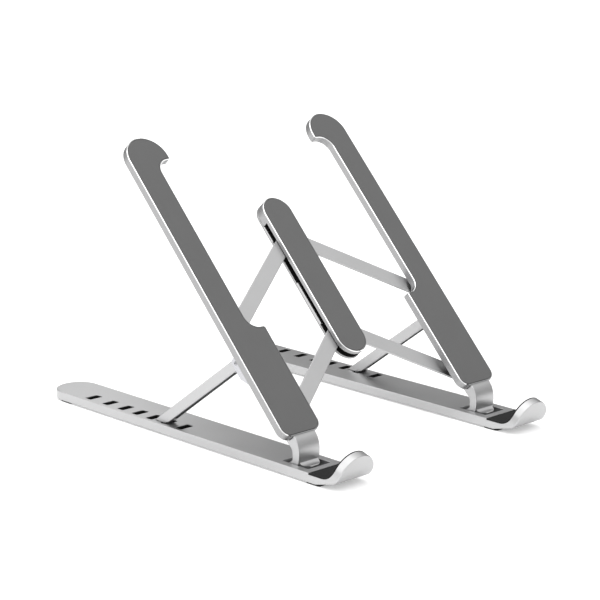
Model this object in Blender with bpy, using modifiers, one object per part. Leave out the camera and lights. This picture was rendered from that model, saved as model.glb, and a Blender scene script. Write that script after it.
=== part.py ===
"""Folding laptop stand: two slotted base rails, two padded arms, a padded centre bar and
four cross links. Lengths in the constants are millimetres; meshes are built in metres.

World frame: +Z up, +Y to the rear, x = 0 on the symmetry plane, z = 0 on the floor, and
y = 0 half way between the lip's front and the rails' rear ends.
Plane frame (the sloping plane of the arms): x across, s up the arm, h out of the pads.
"""
from math import acos, asin, atan2, cos, degrees, hypot, pi, radians, sin, sqrt

import bmesh
import bpy
from mathutils import Euler, Vector

MM = 0.001
GAP = 0.3                       # clearance between touching pieces

# base rails
RAIL_SPACING = 144.0            # between the rails' centre lines
RAIL_WIDTH = 26.6
RAIL_THICK = 5.4
RAIL_REAR = 234.7               # rear end, measured from the lip's bend
FOOT_HEIGHT = 0.8               # rubber feet below the rails
BEND_START = -0.7               # where the flat rail starts to curl up
BEND_RADIUS = 9.4               # on the padded side
BEND_ANGLE = radians(72)
LIP_LENGTH = 19.9               # from the bend's start to the tip, along the padded side
HOOK_PAD_REAR = 9.0
HOOK_PAD_THICK = 0.8
WINDOW_FRONT = 13.7
WINDOW_REAR = 33.9
WINDOW_HALF = 8.35
SLOT_REAR_EDGES = (201.3, 185.4, 171.3, 158.2, 145.4, 132.5, 119.1)
SLOT_LENGTH = 5.5
SLOT_WIDTH = 9.3
SLOT_EDGE = 2.2                 # from the rail's outer edge
SLOT_DEPTH = 3.2
FOOT_PAD_LENGTH = 10.4
FOOT_PAD_WIDTH = 25.2
FOOT_PAD_CORNER = 1.5
FOOT_PAD_CENTRES = {"front": 6.8, "rear": 218.0}
FOOT_PAD_SUNK = 0.2             # how far a foot stands in the rail's underside

# sloping plane of the arms
SLOPE = radians(46.63)
PLANE_Y = 25.8                  # the pads' lower edge, measured as RAIL_REAR is
PLANE_Z = 21.6                  # above the rails' underside

# arms
ARM_HALF = 14.1
ARM_THICK = 5.0
ARM_BOTTOM = -0.6
ARM_TOP = 197.4
ARM_CORNER = 6.0
ARM_RIM = 0.5
ARM_RIM_TOP = -0.2
PAD_THICK = 1.0
NOTCH_LOW = 66.2
NOTCH_HIGH = 180.5
NOTCH_EDGE = -3.55              # the narrow stretch's inner edge, from the arm's centre line
NOTCH_RADIUS = 9.0
NOTCH_CORNER = 1.2

# centre bar
BAR_HALF = 10.5
BAR_LOW = 38.3
BAR_HIGH = 146.4
BAR_PAD_TOP = -2.7
BAR_PLATE_BASE = -5.8
BAR_COVER_TOP = -9.35
BAR_COVER_BASE = -10.9
BAR_WALL = 1.2
BAR_END_BLOCK = 131.6           # the closed upper end starts here
BAR_LIPS = ((63.0, 91.3, 1.05), (120.5, 131.2, 0.45))      # from, to, height
BAR_BOSS = 84.0
BAR_BOSS_RADIUS = 2.8
BAR_SCREWS = {"upper": 139.5, "lower": BAR_BOSS}

# cross links
LINK_ANGLE = radians(35)        # below the x direction, going outwards
LINK_WIDTH = 9.5
LINK_THICK = 1.3
LINK_TOP_HIGH = -6.1           # the upper layer
LINK_TOP_LOW = -7.7            # the lower layer, which passes below the upper one
ARM_CLOSED = 14.35              # an arm's centre line when the stand is closed
UPPER_BAR_PIVOT = (5.6, 117.2)
LOWER_BAR_PIVOT = (0.0, 58.8)
UPPER_ARM_INSET = 1.2           # the upper arm pivot, inwards of the arm's centre line
PIVOT_RADIUS = 1.8
PIVOT_HEAD = 2.8
WASHER_RADIUS = 3.6

# hinge of arm and rail
HINGE_Y = 28.6
HINGE_Z = 2.5                   # above the rail's underside
KNUCKLE_RADIUS = 2.7
HINGE_PIN_RADIUS = 1.2
HINGE_PIN_REACH = 3.0           # into the rail on each side of the window
LEG_HALF = 8.0
LEG_BEND_END = 3.0              # the full-width neck ends here, under the arm
TOE_HALF = 6.0
TOE_FRONT = 17.3                # the neck's foot flares forwards to here, in the window
TOE_TOP = 4.9
TOE_THICK = 1.7
TOE_RADIUS = 4.0                # of the hollow between neck and toe
TONGUE_INNER = -1.0
TONGUE_TOP = 20.0
TONGUE_THICK = 2.2
LEG_SCREWS = (6.0, 16.0)
LEG_SCREW_OUT = 3.6

# strut
STRUT_OUT = 6.9                 # centre, outwards of the arm's centre line
STRUT_WIDTH = 5.6
STRUT_DEPTH = 6.1
STRUT_PIVOT = (51.8, -8.6)      # s and h
STRUT_PIN_RADIUS = 1.2
STRUT_FOOT_Y = 133.3            # where the strut's centre line meets the rail's top
EAR_THICK = 1.5
BRACKET_LOW = 37.0
BRACKET_BASE_END = 47.6
BRACKET_BASE_THICK = 2.0
BRACKET_SCREW = 41.5

SCREW_RADIUS = 1.3
SCREW_HEAD = 2.3
SCREW_HEAD_THICK = 1.1

# worked out from the values above
Y_SHIFT = -(RAIL_REAR + BEND_START - (BEND_RADIUS + RAIL_THICK) * sin(BEND_ANGLE)
            - (LIP_LENGTH - BEND_RADIUS * BEND_ANGLE) * cos(BEND_ANGLE)) / 2
HALF_SPACING = RAIL_SPACING / 2
LINK_REACH = HALF_SPACING - UPPER_ARM_INSET - UPPER_BAR_PIVOT[0]
LINK_LENGTH = LINK_REACH / cos(LINK_ANGLE)
LINK_DROP = LINK_LENGTH * sin(LINK_ANGLE)
LOWER_ARM_INSET = UPPER_ARM_INSET + UPPER_BAR_PIVOT[0] - LOWER_BAR_PIVOT[0]


def in_plane(y, z):
    """World (y, z), measured as RAIL_REAR is and from the rail's underside, to (s, h)."""
    dy, dz = y - PLANE_Y, z - PLANE_Z
    return dy * cos(SLOPE) + dz * sin(SLOPE), -dy * sin(SLOPE) + dz * cos(SLOPE)


def from_plane(s, h):
    """(s, h) back to world (y, z), measured as in in_plane."""
    return PLANE_Y + s * cos(SLOPE) - h * sin(SLOPE), PLANE_Z + s * sin(SLOPE) + h * cos(SLOPE)


# ---------------------------------------------------------------- scene and materials

for old in list(bpy.data.objects):
    bpy.data.objects.remove(old, do_unlink=True)

parts = bpy.data.collections.new("laptop_stand")
cutters = bpy.data.collections.new("laptop_stand_cutters")
for collection in (parts, cutters):
    bpy.context.scene.collection.children.link(collection)


def material(name, colour, roughness, metallic):
    mat = bpy.data.materials.new(name)
    mat.use_nodes = True
    shader = mat.node_tree.nodes["Principled BSDF"]
    shader.inputs["Base Color"].default_value = (*colour, 1.0)
    shader.inputs["Roughness"].default_value = roughness
    shader.inputs["Metallic"].default_value = metallic
    mat.diffuse_color = (*colour, 1.0)
    return mat


ALUMINIUM = material("aluminium", (0.72, 0.72, 0.73), 0.38, 1.0)
STEEL = material("steel", (0.55, 0.56, 0.58), 0.28, 1.0)
PAD_GREY = material("silicone_grey", (0.16, 0.16, 0.16), 0.75, 0.0)
PAD_BLACK = material("silicone_black", (0.02, 0.02, 0.02), 0.7, 0.0)
NYLON = material("nylon", (0.05, 0.05, 0.05), 0.5, 0.0)


# ---------------------------------------------------------------- outlines

def rounded(corners, step=radians(12)):
    """Points of a closed outline; each corner is (a, b, fillet radius)."""
    points = []
    count = len(corners)
    for i, (a, b, radius) in enumerate(corners):
        here = Vector((a, b))
        before = Vector(corners[i - 1][:2]) - here
        after = Vector(corners[(i + 1) % count][:2]) - here
        before.normalize()
        after.normalize()
        half = before.angle(after) / 2
        if radius < 1e-6 or half > radians(89.5):
            points.append((a, b))
            continue
        centre = here + (before + after).normalized() * (radius / sin(half))
        first = here + before * (radius / tan_of(half)) - centre
        last = here + after * (radius / tan_of(half)) - centre
        turn = first.angle_signed(last) * -1
        steps = max(2, round(abs(turn) / step))
        start = atan2(first.y, first.x)
        for k in range(steps + 1):
            angle = start + turn * k / steps
            points.append((centre.x + radius * cos(angle), centre.y + radius * sin(angle)))
    return drop_repeats(points)


def tan_of(angle):
    return sin(angle) / cos(angle)


def drop_repeats(points, close=1e-4):
    kept = []
    for point in points:
        if not kept or hypot(point[0] - kept[-1][0], point[1] - kept[-1][1]) > close:
            kept.append(point)
    if hypot(kept[0][0] - kept[-1][0], kept[0][1] - kept[-1][1]) < close:
        kept.pop()
    return kept


def stadium(half, low, high, steps=14):
    """A strip with round ends, along the second axis."""
    points = [(half * cos(pi * k / steps), high - half + half * sin(pi * k / steps))
              for k in range(steps + 1)]
    points += [(-half * cos(pi * k / steps), low + half - half * sin(pi * k / steps))
               for k in range(steps + 1)]
    return drop_repeats(points)


def box_outline(a0, a1, b0, b1, radius=0.0):
    return rounded([(a0, b0, radius), (a1, b0, radius), (a1, b1, radius), (a0, b1, radius)],
                   radians(30))


def arc(centre, radius, start, end, steps):
    return [(centre[0] + radius * cos(start + (end - start) * k / steps),
             centre[1] + radius * sin(start + (end - start) * k / steps))
            for k in range(steps + 1)]


# ---------------------------------------------------------------- solids

def mesh_object(name, mesh):
    obj = bpy.data.objects.new(name, mesh)
    parts.objects.link(obj)
    return obj


def plate(name, outline, low, high):
    """An outline in the local XY plane, made solid from low to high along local Z."""
    curve = bpy.data.curves.new(name, "CURVE")
    curve.dimensions = "2D"
    curve.fill_mode = "BOTH"
    curve.extrude = (high - low) / 2 * MM
    spline = curve.splines.new("POLY")
    spline.points.add(len(outline) - 1)
    middle = (low + high) / 2 * MM
    for point, (a, b) in zip(spline.points, outline):
        point.co = (a * MM, b * MM, 0.0, 1.0)
    spline.use_cyclic_u = True
    flat = bpy.data.objects.new(name + "_curve", curve)
    parts.objects.link(flat)
    bpy.context.view_layer.update()
    graph = bpy.context.evaluated_depsgraph_get()
    mesh = bpy.data.meshes.new_from_object(flat.evaluated_get(graph))
    bpy.data.objects.remove(flat, do_unlink=True)
    bpy.data.curves.remove(curve)
    form = bmesh.new()
    form.from_mesh(mesh)
    bmesh.ops.remove_doubles(form, verts=form.verts, dist=1e-6)
    bmesh.ops.translate(form, verts=form.verts, vec=(0.0, 0.0, middle))
    bmesh.ops.recalc_face_normals(form, faces=form.faces)
    form.to_mesh(mesh)
    form.free()
    mesh.name = name
    return mesh_object(name, mesh)


def side_plate(name, outline, low, high):
    """An outline in the local YZ plane, made solid from low to high along local X."""
    obj = plate(name, outline, low, high)
    obj.data.transform(Euler((pi / 2, 0.0, pi / 2)).to_matrix().to_4x4())
    return obj


def turned(name, profile, steps=20):
    """A solid turned about local Z; the profile is (radius, z) from top to bottom."""
    mesh = bpy.data.meshes.new(name)
    form = bmesh.new()
    rows = [form.verts.new((r * MM, 0.0, z * MM)) for r, z in profile]
    for first, second in zip(rows, rows[1:]):
        form.edges.new((first, second))
    form.to_mesh(mesh)
    form.free()
    obj = mesh_object(name, mesh)
    screw = obj.modifiers.new("Screw", "SCREW")
    screw.steps = steps
    screw.render_steps = steps
    screw.use_merge_vertices = True
    screw.merge_threshold = 0.00001
    apply_modifiers(obj)
    return obj


def pin(name, radius, low, high, head=None):
    """A round pin along local Z; head is (radius, thickness) at its low end."""
    profile = [(0.0, high), (radius, high)]
    if head:
        head_radius, head_thick = head
        profile += [(radius, low + head_thick), (head_radius, low + head_thick),
                    (head_radius, low), (0.0, low)]
    else:
        profile += [(radius, low), (0.0, low)]
    return turned(name, profile)


def drill(name, radius, low, high, x, y):
    """A cutting cylinder along local Z."""
    mesh = bpy.data.meshes.new(name)
    form = bmesh.new()
    bmesh.ops.create_cone(form, cap_ends=True, segments=20, radius1=radius * MM,
                          radius2=radius * MM, depth=(high - low) * MM)
    bmesh.ops.translate(form, verts=form.verts, vec=(x * MM, y * MM, (low + high) / 2 * MM))
    form.to_mesh(mesh)
    form.free()
    return mesh_object(name, mesh)


def along_x(obj):
    """Turns a solid made along local Z to lie along local X."""
    obj.data.transform(Euler((0.0, pi / 2, 0.0)).to_matrix().to_4x4())
    return obj


def apply_modifiers(obj):
    bpy.context.view_layer.update()
    graph = bpy.context.evaluated_depsgraph_get()
    mesh = bpy.data.meshes.new_from_object(obj.evaluated_get(graph))
    obj.modifiers.clear()
    form = bmesh.new()
    form.from_mesh(mesh)
    bmesh.ops.recalc_face_normals(form, faces=form.faces)
    form.to_mesh(mesh)
    form.free()
    obj.data = mesh


def combine(obj, tool, operation="DIFFERENCE"):
    """Cuts the tool from the piece, or joins it on, with a Boolean that stays live."""
    boolean = obj.modifiers.new(tool.name, "BOOLEAN")
    boolean.operation = operation
    boolean.solver = "EXACT"
    boolean.object = tool
    parts.objects.unlink(tool)
    cutters.objects.link(tool)
    tool.hide_render = True
    tool.display_type = "WIRE"


def shifted(obj, x, y, z):
    for vertex in obj.data.vertices:
        vertex.co += Vector((x * MM, y * MM, z * MM))
    return obj


def soften(obj, width, segments=1):
    """A small round on the piece's sharp edges."""
    bevel = obj.modifiers.new("Bevel", "BEVEL")
    bevel.width = width * MM
    bevel.segments = segments
    bevel.limit_method = "ANGLE"
    bevel.angle_limit = radians(50)


# ---------------------------------------------------------------- bodies

class Body:
    """An empty on a joint's axis, with the pieces that move with it."""

    def __init__(self, name, origin, parent=None, tilt=0.0):
        self.origin = Vector(origin)
        self.empty = bpy.data.objects.new(name, None)
        self.empty.empty_display_size = 0.01
        parts.objects.link(self.empty)
        at = self.origin
        if parent:
            at = self.origin - parent.origin
            self.empty.parent = parent.empty
        self.empty.location = at * MM
        self.empty.rotation_euler = (tilt, 0.0, 0.0)

    def add(self, obj, mat, tools=()):
        """Takes a piece modelled in the frame that the body's origin is given in."""
        for item in (obj, *tools):
            item.parent = self.empty
            item.location = -self.origin * MM
        obj.data.materials.clear()
        obj.data.materials.append(mat)
        smooth = obj.data
        smooth.shade_smooth()
        smooth.set_sharp_from_angle(angle=radians(35))
        return obj


class Ground:
    """World frame with lengths measured as RAIL_REAR is, from the rails' underside."""
    origin = Vector((0.0, 0.0, 0.0))

    def __init__(self):
        self.empty = bpy.data.objects.new("stand", None)
        parts.objects.link(self.empty)
        self.empty.location = Vector((0.0, Y_SHIFT, FOOT_HEIGHT)) * MM


ground = Ground()
plane = Body("sloping_plane", (0.0, PLANE_Y, PLANE_Z), ground, SLOPE)
plane.origin = Vector((0.0, 0.0, 0.0))


# ---------------------------------------------------------------- centre bar (root body)

def bar_outline(inset):
    return stadium(BAR_HALF - inset, BAR_LOW + inset, BAR_HIGH - inset)


def make_bar():
    top = BAR_PAD_TOP + ARM_RIM_TOP
    plate_top = plate("bar_top_plate", bar_outline(0.0), BAR_PLATE_BASE, top)
    pocket_floor = BAR_PAD_TOP - PAD_THICK - GAP
    tools = [plate("bar_pocket", bar_outline(ARM_RIM), pocket_floor, top + 1.0)]
    combine(plate_top, tools[0])
    end_block = [p for p in bar_outline(0.0) if p[1] > BAR_END_BLOCK]
    end_block = drop_repeats([(BAR_HALF, BAR_END_BLOCK)] + end_block
                             + [(-BAR_HALF, BAR_END_BLOCK)])
    block = plate("bar_end_block", end_block, BAR_COVER_TOP + GAP, BAR_PLATE_BASE + 1.0)
    boss = drill("bar_boss", BAR_BOSS_RADIUS, BAR_COVER_TOP + GAP, BAR_PLATE_BASE + 1.0,
                 0.0, BAR_BOSS)
    for extra in (block, boss):
        combine(plate_top, extra, "UNION")
        tools.append(extra)
    holes = [(x, UPPER_BAR_PIVOT[1]) for x in (-UPPER_BAR_PIVOT[0], UPPER_BAR_PIVOT[0])]
    holes.append(LOWER_BAR_PIVOT)
    for index, (x, s) in enumerate(holes):
        hole = drill(f"bar_pin_hole_{index}", PIVOT_RADIUS + GAP, BAR_PLATE_BASE - 1.0,
                     BAR_PLATE_BASE + 1.2, x, s)
        combine(plate_top, hole)
        tools.append(hole)
    for name, s in BAR_SCREWS.items():
        hole = drill(f"bar_screw_hole_{name}", SCREW_RADIUS + GAP, BAR_COVER_TOP - 1.0,
                     BAR_PLATE_BASE - 0.8, 0.0, s)
        combine(plate_top, hole)
        tools.append(hole)
    plane.add(plate_top, ALUMINIUM, tools)

    pad = plate("bar_pad", bar_outline(ARM_RIM + GAP), BAR_PAD_TOP - PAD_THICK, BAR_PAD_TOP)
    plane.add(pad, PAD_GREY)

    cover = plate("bar_bottom_cover", bar_outline(0.0), BAR_COVER_BASE, BAR_COVER_TOP)
    tools = []
    for index, (low, high, rise) in enumerate(BAR_LIPS):
        for side in (-1, 1):
            outer, inner = side * BAR_HALF, side * (BAR_HALF - BAR_WALL)
            lip = plate(f"bar_lip_{index}_{side}",
                        box_outline(min(outer, inner), max(outer, inner), low, high),
                        BAR_COVER_TOP - 0.5, BAR_COVER_TOP + rise)
            combine(cover, lip, "UNION")
            tools.append(lip)
    for name, s in BAR_SCREWS.items():
        for kind, radius, top_at in (("hole", SCREW_RADIUS, BAR_COVER_TOP + 1.0),
                                     ("sink", SCREW_HEAD, BAR_COVER_BASE + SCREW_HEAD_THICK + GAP)):
            hole = drill(f"cover_{kind}_{name}", radius + GAP, BAR_COVER_BASE - 1.0, top_at, 0.0, s)
            combine(cover, hole)
            tools.append(hole)
    plane.add(cover, ALUMINIUM, tools)

    for name, s in BAR_SCREWS.items():
        screw = pin(f"bar_screw_{name}", SCREW_RADIUS, BAR_COVER_BASE,
                    BAR_PLATE_BASE - 0.8 - GAP, (SCREW_HEAD, SCREW_HEAD_THICK))
        plane.add(shifted(screw, 0.0, s, 0.0), STEEL)

    for name, (x, s) in (("upper_left", (-UPPER_BAR_PIVOT[0], UPPER_BAR_PIVOT[1])),
                         ("upper_right", UPPER_BAR_PIVOT), ("lower", LOWER_BAR_PIVOT)):
        post = pin(f"bar_pivot_{name}", PIVOT_RADIUS, BAR_COVER_TOP + GAP, BAR_PLATE_BASE + 0.9)
        plane.add(shifted(post, x, s, 0.0), STEEL)


# ---------------------------------------------------------------- cross links

def make_link(level, side_name, side, bar_pivot, top):
    """A flat bar with round ends, from its bar pivot outwards and down the slope."""
    body = Body(f"link_{level}_{side_name}_axis", (side * bar_pivot[0], bar_pivot[1], 0.0), plane)
    half = LINK_WIDTH / 2
    turn = -LINK_ANGLE if side > 0 else pi + LINK_ANGLE
    ends = arc((0.0, 0.0), half, pi / 2, 3 * pi / 2, 12)
    ends += arc((LINK_LENGTH, 0.0), half, -pi / 2, pi / 2, 12)
    outline = [(a * cos(turn) - b * sin(turn), a * sin(turn) + b * cos(turn)) for a, b in ends]
    outline = [(a + body.origin.x, b + body.origin.y) for a, b in outline]
    link = plate(f"{level}_link_{side_name}", outline, top - LINK_THICK, top)
    tools = []
    for index, reach in enumerate((0.0, LINK_LENGTH)):
        hole = drill(f"link_hole_{level}_{side_name}_{index}", PIVOT_RADIUS + GAP,
                     top - LINK_THICK - 1.0, top + 1.0,
                     body.origin.x + reach * cos(turn), body.origin.y + reach * sin(turn))
        combine(link, hole)
        tools.append(hole)
    body.add(link, ALUMINIUM, tools)
    return body


# ---------------------------------------------------------------- arms

def arm_outline(side, inset):
    """The arm's outline in the plane frame, drawn in from its edge by inset."""
    half, low, high = ARM_HALF - inset, ARM_BOTTOM + inset, ARM_TOP - inset
    notch_low, notch_high = NOTCH_LOW - inset, NOTCH_HIGH + inset
    edge = NOTCH_EDGE + inset
    corner, notch = ARM_CORNER - inset, NOTCH_RADIUS + inset
    corners = [(half, low, corner), (half, high, half), (-half, high, half),
               (-half, notch_high, NOTCH_CORNER), (edge, notch_high, notch - 0.9),
               (edge, notch_low, notch - 0.9), (-half, notch_low, NOTCH_CORNER),
               (-half, low, corner)]
    points = rounded(corners)
    return [(side * (HALF_SPACING + a), b) for a, b in points]


def leg_profile():
    """Side view of the curved neck from the arm's end down to the hinge, as (s, h)."""
    upper_radius, lower_radius = 13.0, 30.0
    front_y, level = 21.5, 11.3
    top_z = 20.6
    upper = arc((front_y + upper_radius, level), upper_radius,
                pi - asin((top_z - level) / upper_radius), pi, 7)
    lower = arc((front_y + lower_radius, level), lower_radius, pi,
                pi + asin((level - 2.4) / lower_radius), 4)
    toe = arc((25.3, 2.2), 2.4, pi, 3 * pi / 2, 3)
    knuckle = arc((HINGE_Y, HINGE_Z), KNUCKLE_RADIUS, -pi / 2, radians(70), 8)
    underside = -ARM_THICK - GAP - TONGUE_THICK
    bend = arc(in_plane(30.85, 10.95), 4.0, radians(133), radians(91), 4)
    heel = [(LEG_BEND_END, underside), (LEG_BEND_END, -ARM_THICK - GAP),
            (ARM_BOTTOM - GAP, -ARM_THICK - GAP), (ARM_BOTTOM - GAP, ARM_RIM_TOP)]
    world = upper + lower[1:] + toe[1:] + knuckle + [(26.7, 7.2)]
    return [in_plane(y, z) for y, z in world] + bend + heel


def toe_profile():
    """Side view of the neck's flared foot, which lies in the rail's window, as (s, h)."""
    hollow = arc((TOE_FRONT + 1.4, TOE_TOP + TOE_RADIUS), TOE_RADIUS, -pi / 2, radians(-12), 5)
    world = [(TOE_FRONT, TOE_TOP - TOE_THICK), (24.5, TOE_TOP - TOE_THICK), (24.5, 9.0)]
    return [in_plane(y, z) for y, z in world + hollow[::-1] + [(TOE_FRONT, TOE_TOP - 0.5)]]


def make_arm(side_name, side, link_body, lower_top):
    upper = (side * (HALF_SPACING - UPPER_ARM_INSET), UPPER_BAR_PIVOT[1] - LINK_DROP)
    lower = (side * (HALF_SPACING - LOWER_ARM_INSET), LOWER_BAR_PIVOT[1] - LINK_DROP)
    body = Body(f"arm_{side_name}_axis", (*upper, 0.0), link_body)
    centre = side * HALF_SPACING

    shell = plate(f"arm_plate_{side_name}", arm_outline(side, 0.0), -ARM_THICK, ARM_RIM_TOP)
    tools = [plate(f"arm_pocket_{side_name}", arm_outline(side, ARM_RIM),
                   -PAD_THICK - GAP, 1.0)]
    holes = {"upper_pin": (PIVOT_RADIUS, *upper), "lower_pin": (PIVOT_RADIUS, *lower),
             "bracket_screw": (SCREW_RADIUS, centre + side * STRUT_OUT, BRACKET_SCREW)}
    for index, s in enumerate(LEG_SCREWS):
        holes[f"leg_screw_{index}"] = (SCREW_RADIUS, centre + side * LEG_SCREW_OUT, s)
    for name, (radius, x, s) in holes.items():
        tools.append(drill(f"arm_hole_{side_name}_{name}", radius + GAP, -ARM_THICK - 1.0,
                           -PAD_THICK - GAP - 0.8, x, s))
    for tool in tools:
        combine(shell, tool)
    body.add(shell, ALUMINIUM, tools)

    pad = plate(f"arm_pad_{side_name}", arm_outline(side, ARM_RIM + GAP), -PAD_THICK, 0.0)
    body.add(pad, PAD_GREY)

    pin_top = -PAD_THICK - 2 * GAP - 0.8
    for level, at, link_top in (("upper", upper, LINK_TOP_HIGH), ("lower", lower, lower_top)):
        link_base = link_top - LINK_THICK
        rivet = pin(f"{level}_arm_rivet_{side_name}", PIVOT_RADIUS, link_base - GAP - 1.0, pin_top,
                    (PIVOT_HEAD, 1.0))
        body.add(shifted(rivet, *at, 0.0), STEEL)
        washer_top = -ARM_THICK - GAP
        washer_base = link_top + GAP
        washer = drill(f"{level}_arm_washer_{side_name}", WASHER_RADIUS, washer_base, washer_top, *at)
        hole = drill(f"washer_hole_{level}_{side_name}", PIVOT_RADIUS + GAP, washer_base - 1.0,
                     washer_top + 1.0, *at)
        combine(washer, hole)
        body.add(washer, NYLON, [hole])

    make_leg(side_name, side, centre, body)
    return body


def make_leg(side_name, side, centre, body):
    leg = side_plate(f"leg_{side_name}", leg_profile(), centre - LEG_HALF, centre + LEG_HALF)
    inner, outer = centre + side * TONGUE_INNER, centre + side * LEG_HALF
    tongue_top = -ARM_THICK - GAP
    tongue = plate(f"leg_tongue_{side_name}",
                   box_outline(min(inner, outer), max(inner, outer), 0.0, TONGUE_TOP),
                   tongue_top - TONGUE_THICK, tongue_top)
    toe = side_plate(f"leg_toe_{side_name}", toe_profile(), centre - TOE_HALF, centre + TOE_HALF)
    tools = [tongue, toe]
    for extra in tools[:2]:
        combine(leg, extra, "UNION")
    hinge_s, hinge_h = in_plane(HINGE_Y, HINGE_Z)
    bore = along_x(drill(f"leg_bore_{side_name}", HINGE_PIN_RADIUS + GAP, -LEG_HALF - 1.0,
                         LEG_HALF + 1.0, 0.0, 0.0))
    tools.append(shifted(bore, centre, hinge_s, hinge_h))
    for index, s in enumerate(LEG_SCREWS):
        tools.append(drill(f"leg_hole_{side_name}_{index}", SCREW_RADIUS + GAP,
                           tongue_top - TONGUE_THICK - 1.0, tongue_top + 1.0,
                           centre + side * LEG_SCREW_OUT, s))
    for tool in tools[2:]:
        combine(leg, tool)
    body.add(leg, ALUMINIUM, tools)
    for index, s in enumerate(LEG_SCREWS):
        low = tongue_top - TONGUE_THICK - GAP - SCREW_HEAD_THICK
        screw = pin(f"leg_screw_{side_name}_{index + 1}", SCREW_RADIUS, low,
                    -PAD_THICK - 2 * GAP - 0.8, (SCREW_HEAD, SCREW_HEAD_THICK))
        body.add(shifted(screw, centre + side * LEG_SCREW_OUT, s, 0.0), STEEL)


# ---------------------------------------------------------------- struts and their brackets

def make_bracket(side_name, side, body):
    centre = side * (HALF_SPACING + STRUT_OUT)
    pivot_s, pivot_h = STRUT_PIVOT
    top = -ARM_THICK - GAP
    low = pivot_h - STRUT_DEPTH / 2 + 0.2
    half = STRUT_WIDTH / 2 + GAP
    ear = [(BRACKET_LOW, top, 0.0), (BRACKET_LOW, top - BRACKET_BASE_THICK - 0.7, 0.0),
           (BRACKET_LOW + 6.0, low, 1.5), (pivot_s + 3.2, low, 2.4), (pivot_s + 3.2, top, 0.8)]
    bracket = side_plate(f"strut_bracket_{side_name}", rounded(ear, radians(20)),
                         centre - half - EAR_THICK, centre + half + EAR_THICK)
    channel = side_plate(f"bracket_channel_{side_name}",
                         [(BRACKET_LOW - 1.0, top - BRACKET_BASE_THICK),
                          (BRACKET_BASE_END, top - BRACKET_BASE_THICK),
                          (BRACKET_BASE_END, top + 1.0), (pivot_s + 5.0, top + 1.0),
                          (pivot_s + 5.0, low - 2.0), (BRACKET_LOW - 1.0, low - 2.0)],
                         centre - half, centre + half)
    bore = along_x(drill(f"bracket_bore_{side_name}", STRUT_PIN_RADIUS + GAP,
                         -half - 3.0, half + 3.0, 0.0, 0.0))
    shifted(bore, centre, pivot_s, pivot_h)
    hole = drill(f"bracket_hole_{side_name}", SCREW_RADIUS + GAP, top - 4.0, top + 1.0,
                 centre, BRACKET_SCREW)
    tools = [channel, bore, hole]
    for tool in tools:
        combine(bracket, tool)
    body.add(bracket, STEEL, tools)
    base = top - BRACKET_BASE_THICK
    screw = pin(f"bracket_screw_{side_name}", SCREW_RADIUS, base - GAP - SCREW_HEAD_THICK,
                -PAD_THICK - 2 * GAP - 0.8, (SCREW_HEAD, SCREW_HEAD_THICK))
    body.add(shifted(screw, centre, BRACKET_SCREW, 0.0), STEEL)
    reach = half + EAR_THICK
    axle = along_x(pin(f"strut_pin_{side_name}", STRUT_PIN_RADIUS, -reach, reach))
    body.add(shifted(axle, centre, pivot_s, pivot_h), STEEL)


def make_strut(side_name, side, arm_body):
    """A square bar from its pivot under the arm down to just above the rail's top."""
    pivot_y, pivot_z = from_plane(*STRUT_PIVOT)
    foot_z = RAIL_THICK
    length = hypot(STRUT_FOOT_Y - pivot_y, foot_z - pivot_z)
    along = Vector((STRUT_FOOT_Y - pivot_y, foot_z - pivot_z)) / length
    across = Vector((-along.y, along.x))
    half = STRUT_DEPTH / 2
    pivot = Vector((pivot_y, pivot_z))
    turn = atan2(across.y, across.x)
    knuckle = arc((pivot_y, pivot_z), half, turn, turn + pi, 10)
    foot_level = foot_z + GAP

    def meet(offset):
        start = pivot + across * offset
        return start + along * ((foot_level - start.y) / along.y)

    upper, lower = meet(half), meet(-half)
    toe = lower + Vector((1.6, 0.0))
    heel = lower - along * 1.8
    outline = knuckle + [tuple(heel), tuple(toe), tuple(upper)]
    centre = side * (HALF_SPACING + STRUT_OUT)
    outline = [in_plane(y, z) for y, z in outline]
    body = Body(f"strut_{side_name}_axis", (centre, *STRUT_PIVOT), arm_body)
    bar = side_plate(f"strut_{side_name}", outline, centre - STRUT_WIDTH / 2,
                     centre + STRUT_WIDTH / 2)
    bore = along_x(drill(f"strut_bore_{side_name}", STRUT_PIN_RADIUS + GAP,
                         -STRUT_WIDTH, STRUT_WIDTH, 0.0, 0.0))
    shifted(bore, centre, *STRUT_PIVOT)
    combine(bar, bore)
    body.add(bar, ALUMINIUM, [bore])


# ---------------------------------------------------------------- rails

def top_path(v, drop=0.0):
    """(y, z) of the rail's padded side, v past the bend's start; drop goes below it."""
    radius = BEND_RADIUS + drop
    if v <= 0.0:
        return BEND_START - v, RAIL_THICK - drop
    angle = min(v / BEND_RADIUS, BEND_ANGLE)
    rest = max(0.0, v - BEND_RADIUS * BEND_ANGLE)
    y = BEND_START - radius * sin(angle) - rest * cos(angle)
    z = RAIL_THICK + BEND_RADIUS - radius * cos(angle) + rest * sin(angle)
    return y, z


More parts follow.
